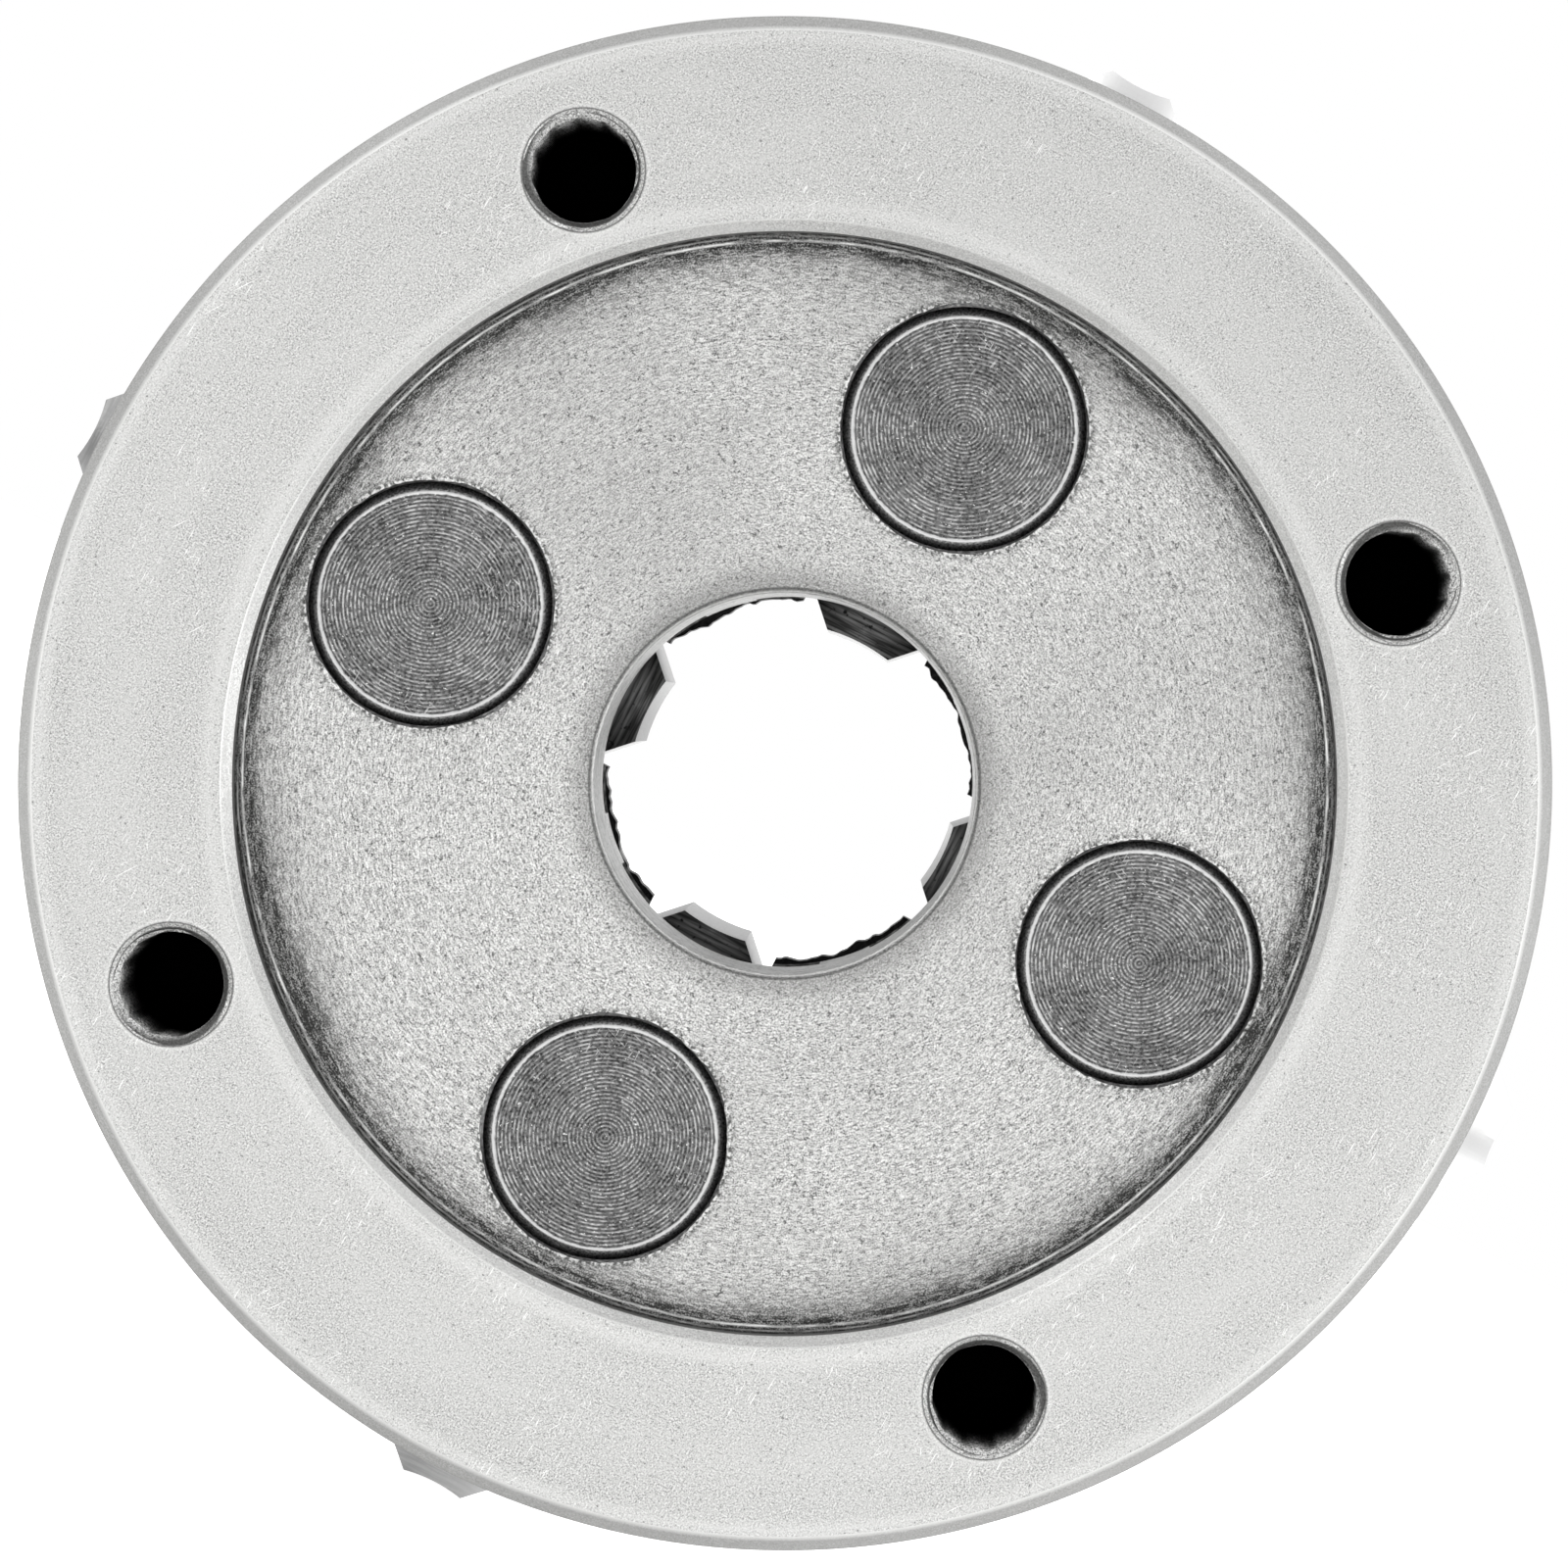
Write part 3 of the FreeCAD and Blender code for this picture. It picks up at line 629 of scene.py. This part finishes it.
def make_pin_steel(number, centre):
    """Blackened steel, faced with a coarse feed: dark, with the ridges catching light
    in short broken streaks, and its edge rubbed bright."""
    paint = bpy.data.materials.new(f"black_steel_faced_{number}")
    tree = Tree(paint)
    point, radius, way = turned_place(tree, centre)
    face_radius = pin_radius - PIN_CHAMFER
    ridge = tree.add("Math", radius, PIN_RIDGE_PITCH, operation="DIVIDE")
    ridge = tree.add("Math", tree.add("Math", ridge, operation="FRACT"), 0.5, operation="SUBTRACT")
    crest = tree.add("MapRange", tree.add("Math", ridge, operation="ABSOLUTE"), 0.16, 0.46)
    broken = cut_grain(tree, radius, way, PIN_MIDDLE, 0.30, 0.28, 3.0)
    clouds = tree.add("TexNoise", point, 0.28, 3.0)
    glint = tree.add("MapRange", broken, 0.40, 0.62, 0.10, 1.0)
    lit = tree.add("Math", crest, glint, operation="MULTIPLY")
    patchy = tree.add("MapRange", clouds, 0.35, 0.65, 0.45, 1.0)
    lit = tree.add("Math", lit, patchy, operation="MULTIPLY")
    grit = flecks(tree, point, 0.16, 0.38, 0.62)
    colour = layered(
        tree,
        rgb("#262626"),
        (grit, rgb("#646464")),
        (tree.add("MapRange", clouds, 0.38, 0.62, 0.0, 0.35), rgb("#626262")),
        (lit, rgb("#C4C4C4")),
        (flecks(tree, point, 0.22, 0.66, 0.70), rgb("#D0D0D0")),
    )
    scores = [(93, 1.0, 0.74), (20, 1.0, 0.74)]
    colour = scored(tree, colour, point, scores, 0.6, rgb("#BCBCBC"))
    beyond = layered(tree, rgb("#4C4C4C"), (grit, rgb("#8E8E8E")))
    uneven = tree.add("MapRange", broken, 0.3, 0.7, -0.05, 0.05)
    uneven = tree.add("Math", radius, uneven, operation="ADD")
    ring_start = face_radius - PIN_EDGE_RING
    wear_and_highlight = tree.add("MapRange", uneven, ring_start - 0.05, ring_start + 0.05)
    colour = layered(
        tree,
        colour,
        (tree.add("Math", wear_and_highlight, 0.85, operation="MULTIPLY"), rgb("#C6C6C6")),
        (tree.add("MapRange", radius, face_radius - 0.02, face_radius + 0.06), beyond),
    )
    gloss = tree.add("MapRange", grit, 0.0, 1.0, 0.48, 0.34)
    finish_metal(tree, colour, gloss, grit, 0.008)
    return paint


def make_jaw_steel():
    """Hardened alloy steel, ground bright on its gripping faces. The underside over the
    bore carries painted shade, and shows the fine lines left across it by the shaper. Beyond
    the rim it carries a painted highlight, and painted shade that deepens towards -X."""
    paint = bpy.data.materials.new("hardened_steel_ground")
    tree = Tree(paint)
    point, _, _ = turned_place(tree)
    along, across = folded(tree, point)
    height = tree.add("SeparateXYZ", point, out="Y")
    grit = flecks(tree, point, FLAKE, 0.32, 0.68)

    # the grinding wheel's lines run along the jaw, 3 mm long and 0.2 mm apart
    lined = tree.add("CombineXYZ", along, height, across)
    lined = tree.add("VectorMath", lined, (0.33, 5.0, 5.0), operation="MULTIPLY")
    wheel = tree.add("TexNoise", lined, 1.0, 3.0)
    bright = layered(
        tree,
        rgb("#7C7C7C"),
        (grit, rgb("#B0B0B0")),
        (tree.add("MapRange", wheel, 0.35, 0.65, 0.0, 0.6), rgb("#787878")),
    )

    # the shaper's lines run across the underside, 0.22 mm apart, laid into its painted shade
    stepped = tree.add("CombineXYZ", along, 0.0, across)
    stepped = tree.add("VectorMath", stepped, (4.6, 1.0, 0.30), operation="MULTIPLY")
    lines = tree.add("TexNoise", stepped, 1.0, 2.0)
    dark = layered(
        tree,
        rgb("#303030"),
        (tree.add("MapRange", lines, 0.38, 0.64), rgb("#6C6C6C")),
        (flecks(tree, point, 0.5, 0.62, 0.70, 3.0), rgb("#1A1A1A")),
    )
    # painted shade on the underside and the lowest part of the jaw over the bore, fading beyond
    # the rim to painted shade that deepens towards -X, and a painted highlight on the underside
    # beyond the rim
    facing = tree.add("SeparateXYZ", tree.add("NewGeometry", out="Normal"), out="Y")
    downward = tree.add("MapRange", facing, -0.30, -0.15, 1.0, 0.0)
    x_lean = tree.add("VectorMath", point, (1, 0, 0.2), operation="DOT_PRODUCT")
    side_shade = tree.add("MapRange", x_lean, -14.0, 2.0, 0.7, 0.0)
    over_bore = tree.add("MapRange", along, 30.0, 46.0, 1.0, side_shade)
    low = tree.add("MapRange", height, 26.5, 30.0, 0.22, 0.0)
    share = tree.add("Math", downward, low, operation="MAXIMUM")
    share = tree.add("Math", share, over_bore, operation="MULTIPLY")
    wear_and_highlight = tree.add("MapRange", along, 46.0, 48.0, 0.0, 0.9)
    wear_and_highlight = tree.add("Math", wear_and_highlight, downward, operation="MULTIPLY")
    colour = layered(tree, bright, (wear_and_highlight, rgb("#EAEAEA")), (share, dark))
    relief = tree.add("Math", lines, downward, wheel, operation="MULTIPLY_ADD")
    gloss = tree.add("MapRange", wheel, 0.0, 1.0, 0.28, 0.44)
    finish_metal(tree, colour, gloss, relief, 0.005)
    return paint


def make_screw_steel():
    """Quenched and oiled screw steel: near black, satin, worn brighter on the crests."""
    paint = bpy.data.materials.new("screw_steel_oiled")
    tree = Tree(paint)
    point, _, _ = turned_place(tree)
    scale = flecks(tree, point, 0.28, 0.30, 0.70, 3.0)
    worn = flecks(tree, point, 0.85, 0.52, 0.70, 3.0)
    colour = layered(
        tree,
        rgb("#303031"),
        (scale, rgb("#565657")),
        (tree.add("Math", worn, 0.5, operation="MULTIPLY"), rgb("#8A8A8B")),
    )
    gloss = tree.add("MapRange", scale, 0.0, 1.0, 0.42, 0.28)
    finish_metal(tree, colour, gloss, scale, 0.006)
    return paint


# ---------------------------------------------------------------- mesh work
def keep_mesh(name, points, faces, marks=None, paints=()):
    """A closed mesh from points in mm. marks gives each face the place of its paint."""
    mesh = bpy.data.meshes.new(name)
    mesh.from_pydata([Vector(p) * MM for p in points], [], faces)
    for paint in paints:
        mesh.materials.append(paint)
    if marks is not None:
        mesh.polygons.foreach_set("material_index", marks)
    work = bmesh.new()
    work.from_mesh(mesh)
    bmesh.ops.remove_doubles(work, verts=work.verts, dist=1e-7)
    bmesh.ops.recalc_face_normals(work, faces=work.faces)
    work.to_mesh(mesh)
    work.free()
    piece = bpy.data.objects.new(name, mesh)
    bpy.context.scene.collection.objects.link(piece)
    return piece


def turned(name, profile, steps, paints, turn=None):
    """A solid turned about Y. Each corner of the profile is (radius, height, paint), and
    its paint is for the face that leads to the next corner."""
    turn = turn or Matrix.Identity(3)
    points = []
    for radius, height, _ in profile:
        for step in range(steps):
            angle = 2 * math.pi * step / steps
            at = Vector((radius * math.cos(angle), height, radius * math.sin(angle)))
            points.append(turn @ at)
    faces = []
    marks = []
    for row, (radius, _, paint) in enumerate(profile):
        following = (row + 1) % len(profile)
        if radius == 0 and profile[following][0] == 0:
            continue
        for step in range(steps):
            after = (step + 1) % steps
            ring, other = row * steps, following * steps
            faces.append((ring + step, ring + after, other + after, other + step))
            marks.append(paint)
    return keep_mesh(name, points, faces, marks, paints)


def prism(name, outline, low, high, paint, turn=None):
    """A straight prism along X between low and high, from an outline of (y, z) points."""
    turn = turn or Matrix.Identity(3)
    count = len(outline)
    points = [turn @ Vector((x, y, z)) for x in (low, high) for y, z in outline]
    faces = [tuple(range(count)), tuple(range(count, 2 * count))]
    for index in range(count):
        after = (index + 1) % count
        faces.append((index, after, count + after, count + index))
    return keep_mesh(name, points, faces, None, [paint])


def shape(piece, cutters):
    """Cut every cutter out of a piece and clear them away. A cut face keeps the
    cutter's own paint."""
    for cutter in cutters:
        cut = piece.modifiers.new("Cut", "BOOLEAN")
        cut.operation = "DIFFERENCE"
        cut.solver = "EXACT"
        cut.material_mode = "TRANSFER"
        cut.object = cutter
    depsgraph = bpy.context.evaluated_depsgraph_get()
    mesh = bpy.data.meshes.new_from_object(piece.evaluated_get(depsgraph))
    piece.modifiers.clear()
    old = piece.data
    piece.data = mesh
    bpy.data.meshes.remove(old)
    for cutter in cutters:
        bpy.data.meshes.remove(cutter.data)


def shade(piece, angle=30):
    """Smooth shading, with every corner steeper than the angle left crisp."""
    piece.data.shade_smooth()
    piece.data.set_sharp_from_angle(angle=math.radians(angle))


def quarter(number):
    """The turn about Y that takes +X to a jaw's own slot."""
    way = SLOT_DIRECTIONS[number]
    return Matrix(((way.x, 0, -way.z), (0, 1, 0), (way.z, 0, way.x)))


def roughen(piece, inner, outer, depth, limit, seed):
    """Move the points of a turned piece that lie between two radii in or out by up to
    about a depth, but not past a limiting radius, all in mm: long waves of 3 mm with
    chips of 0.6 mm in them. All points at one angle move together, so a burred edge
    stays clean along the axis."""
    for vertex in piece.data.vertices:
        radius = math.hypot(vertex.co.x, vertex.co.z) / MM
        if not inner < radius < outer:
            continue
        way = Vector((vertex.co.x, 0, vertex.co.z)).normalized()
        wave = noise.noise(way * radius / 3.0 + Vector((0, seed, 0)))
        chip = noise.noise(way * radius / 0.6 + Vector((0, seed, 7)))
        moved = min(limit, radius + depth * (1.3 * wave + 0.7 * chip))
        vertex.co += way * (moved - radius) * MM


LAY_ALONG_X = Matrix(((0, 1, 0), (1, 0, 0), (0, 0, -1)))  # takes Y to X


# ---------------------------------------------------------------- the body
def tap_cutter(paint, turn):
    """What the drill, the countersink and the M8 tap take out of one blind hole."""
    columns = 60
    rows_per_pitch = 12
    step = TAP_PITCH / rows_per_pitch
    thread_rows = int(THREAD_DEPTH / step)
    points = []

    def ring(height, radius_at):
        for column in range(columns):
            angle = 2 * math.pi * column / columns
            radius = radius_at(angle, height)
            points.append((radius * math.cos(angle), height, radius * math.sin(angle)))

    def threaded(angle, height):
        # a 60 degree thread: the crest is at the tap drill, the root at the major size
        phase = (height / TAP_PITCH + angle / (2 * math.pi)) % 1.0
        rise = max(0.0, 1.0 - abs(phase - 0.5) / THREAD_FLANK)
        radius = tap_radius + (TAP_MAJOR - tap_radius) * min(1.0, rise * 1.3)
        fade = min(1.0, max(0.0, (THREAD_DEPTH - height) / TAP_PITCH))
        return tap_radius + (radius - tap_radius) * fade

    mouth = TAP_MOUTH_RADIUS
    ring(-1.0, lambda angle, height: mouth + 1.0)
    sink = mouth - tap_radius
    for row in range(thread_rows + 1):
        height = row * step
        ring(height, lambda angle, at: max(threaded(angle, at), mouth - at if at < sink else 0))
    ring(TAP_DEPTH, lambda angle, height: tap_radius)
    tip = TAP_DEPTH + tap_radius / math.tan(math.radians(DRILL_HALF_POINT))
    faces = []
    rows = len(points) // columns
    for row in range(rows - 1):
        for column in range(columns):
            after = (column + 1) % columns
            ring_at, other = row * columns, (row + 1) * columns
            faces.append((ring_at + column, ring_at + after, other + after, other + column))
    faces.append(tuple(range(columns)))
    points.append((0, tip, 0))
    last_ring = (rows - 1) * columns
    for column in range(columns):
        after = (column + 1) % columns
        faces.append((last_ring + column, last_ring + after, len(points) - 1))
    corner = Vector((bolt_side, 0, bolt_side))
    placed = [turn @ (Vector(point) + corner) for point in points]
    return keep_mesh("tap", placed, faces, None, [paint])


def make_body(turned_iron, recess, rim, milled, tapped, drilled, reamed):
    """The body: turned all over, slotted, bored for the screws and pins, and tapped."""
    face, rough, edge, bore, shaded_rib = range(5)
    profile = [
        (BORE_RADIUS + BORE_CHAMFER, REGISTER_DEPTH, rough),
        (register_radius, REGISTER_DEPTH, edge),
        (register_radius, REGISTER_CHAMFER, edge),
        (register_radius + REGISTER_CHAMFER, 0, face),
        (body_radius - REAR_CHAMFER, 0, edge),
        (body_radius, REAR_CHAMFER, edge),
        (body_radius, body_length - FRONT_CHAMFER, edge),
        (body_radius - FRONT_CHAMFER, body_length, face),
    ]
    for radius in reversed(RING_RADII):
        profile += [
            (radius + RING_DEPTH, body_length, face),
            (radius, body_length - RING_DEPTH, face),
            (radius - RING_DEPTH, body_length, face),
        ]
    profile += [
        (BORE_RADIUS + BORE_CHAMFER, body_length, bore),
        (BORE_RADIUS, body_length - BORE_CHAMFER, bore),
        # the rib's faces take the drilled iron's near-black painted shade
        (BORE_RADIUS, RIB_END, shaded_rib),
        (RIB_BORE_RADIUS, RIB_END, shaded_rib),
        (RIB_BORE_RADIUS, RIB_START, shaded_rib),
        (BORE_RADIUS, RIB_START, bore),
        (BORE_RADIUS, REGISTER_DEPTH + BORE_CHAMFER, rough),
    ]
    body = turned("body", profile, STEPS_ROUND, [turned_iron, recess, rim, reamed, drilled])
    roughen(body, RIB_BORE_RADIUS - 0.1, RIB_BORE_RADIUS + 0.1, 0.32, BORE_RADIUS - 0.02, 3)

    top = body_length + 1.0
    half = [
        (SLOT_FLOOR, SLOT_HALF),
        (RIB_START, SLOT_HALF),
        (RIB_START, RIB_GAP_HALF),
        (RIB_END, RIB_GAP_HALF),
        (RIB_END, SLOT_HALF),
        (body_length - SLOT_EDGE, SLOT_HALF),
        (top, SLOT_HALF + 1.0 + SLOT_EDGE),
    ]
    outline = half + [(y, -z) for y, z in reversed(half)]
    long_slot = body_radius + 2.0
    cutters = [prism("slot", outline, -long_slot, long_slot, milled, quarter(n)) for n in (0, 3)]
    for number in range(4):
        screw_bore = [
            (0, SCREW_BORE_END, 0),
            (SCREW_BORE_RADIUS, SCREW_BORE_END, 0),
            (SCREW_BORE_RADIUS, body_radius + 2.0, 0),
            (0, body_radius + 2.0, 0),
        ]
        bored = turned("screw_bore", screw_bore, 128, [milled], LAY_ALONG_X)
        bored.data.transform(Matrix.Translation((0, screw_axis * MM, 0)))
        bored.data.transform(quarter(number).to_4x4())
        ragged = PIN_HOLE_RADIUS + PIN_HOLE_EDGE
        pin_hole = [
            (0, REGISTER_DEPTH - 1.0, 0),
            (ragged, REGISTER_DEPTH - 1.0, 0),
            (ragged, REGISTER_DEPTH + 0.05, 0),
            (PIN_HOLE_RADIUS, REGISTER_DEPTH + 0.30, 0),
            (PIN_HOLE_RADIUS, screw_axis, 0),
            (0, screw_axis, 0),
        ]
        pinned = turned("pin_hole", pin_hole, 300, [drilled])
        roughen(pinned, ragged - 0.05, ragged + 0.05, 0.12, ragged + 0.15, 11 + number)
        pinned.data.transform(Matrix.Translation((pin_circle_radius * MM, 0, 0)))
        pinned.data.transform(quarter(number).to_4x4())
        cutters += [bored, pinned, tap_cutter(tapped, quarter(number))]
    shape(body, cutters)
    shade(body)
    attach(body, "root")
    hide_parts("chuck_body")


# ---------------------------------------------------------------- the thrust pins
def make_pin(number, paint):
    """A thrust pin, its face left with the ridges of a coarse facing cut."""
    face_radius = pin_radius - PIN_CHAMFER
    profile = [(0, pin_face + PIN_RIDGE_HEIGHT, 0)]
    ridges = int((face_radius - PIN_EDGE_RING - 0.1) / PIN_RIDGE_PITCH)
    start, bottom, end = PIN_RIDGE_FLANKS
    for ridge in range(ridges):
        inner = ridge * PIN_RIDGE_PITCH
        profile += [
            (inner + PIN_RIDGE_PITCH * start, pin_face + PIN_RIDGE_HEIGHT, 0),
            (inner + PIN_RIDGE_PITCH * bottom, pin_face, 0),
            (inner + PIN_RIDGE_PITCH * end, pin_face + PIN_RIDGE_HEIGHT, 0),
        ]
    profile += [
        (face_radius - PIN_EDGE_RING, pin_face + PIN_RIDGE_HEIGHT, 0),
        (face_radius - PIN_EDGE_RING + 0.05, pin_face, 0),
        (face_radius, pin_face, 0),
        (pin_radius, pin_face + PIN_CHAMFER, 0),
        (pin_radius, screw_axis, 0),
        (0, screw_axis, 0),
    ]
    pin = turned(f"pin_{number + 1}", profile, 144, [paint])
    spool_end = pin_radius + 1.0
    spool = [
        (0, -spool_end, 0),
        (SCREW_BORE_RADIUS, -spool_end, 0),
        (SCREW_BORE_RADIUS, -PIN_COLLAR / 2, 0),
        (NECK_RADIUS, -PIN_COLLAR / 2, 0),
        (NECK_RADIUS, PIN_COLLAR / 2, 0),
        (SCREW_BORE_RADIUS, PIN_COLLAR / 2, 0),
        (SCREW_BORE_RADIUS, spool_end, 0),
        (0, spool_end, 0),
    ]
    saddle = turned("saddle", spool, 96, [paint], LAY_ALONG_X)
    saddle.data.transform(Matrix.Translation((0, screw_axis * MM, 0)))
    shape(pin, [saddle])
    pin.data.transform(Matrix.Translation((pin_circle_radius * MM, 0, 0)))
    pin.data.transform(quarter(number).to_4x4())
    shade(pin, 50)
    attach(pin, "root")
    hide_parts(f"thrust_pin_{number + 1}")


make_body(
    make_turned_iron(),
    make_recess_iron(),
    make_rim_iron(),
    make_milled_iron(),
    make_tapped_iron(),
    make_drilled_iron(),
    make_bore_iron(),
)
for number in range(4):
    way = SLOT_DIRECTIONS[number] * pin_circle_radius
    make_pin(number, make_pin_steel(number + 1, (way.x, way.z)))

# ---------------------------------------------------------------- jaws and screws
jaw_steel = make_jaw_steel()
screw_steel = make_screw_steel()
for number in range(1, 5):
    for node, paint in ((f"jaw_{number}", jaw_steel), (f"jaw_screw_{number}", screw_steel)):
        mesh = frame["nodes"][node].data
        mesh.materials.clear()
        mesh.materials.append(paint)
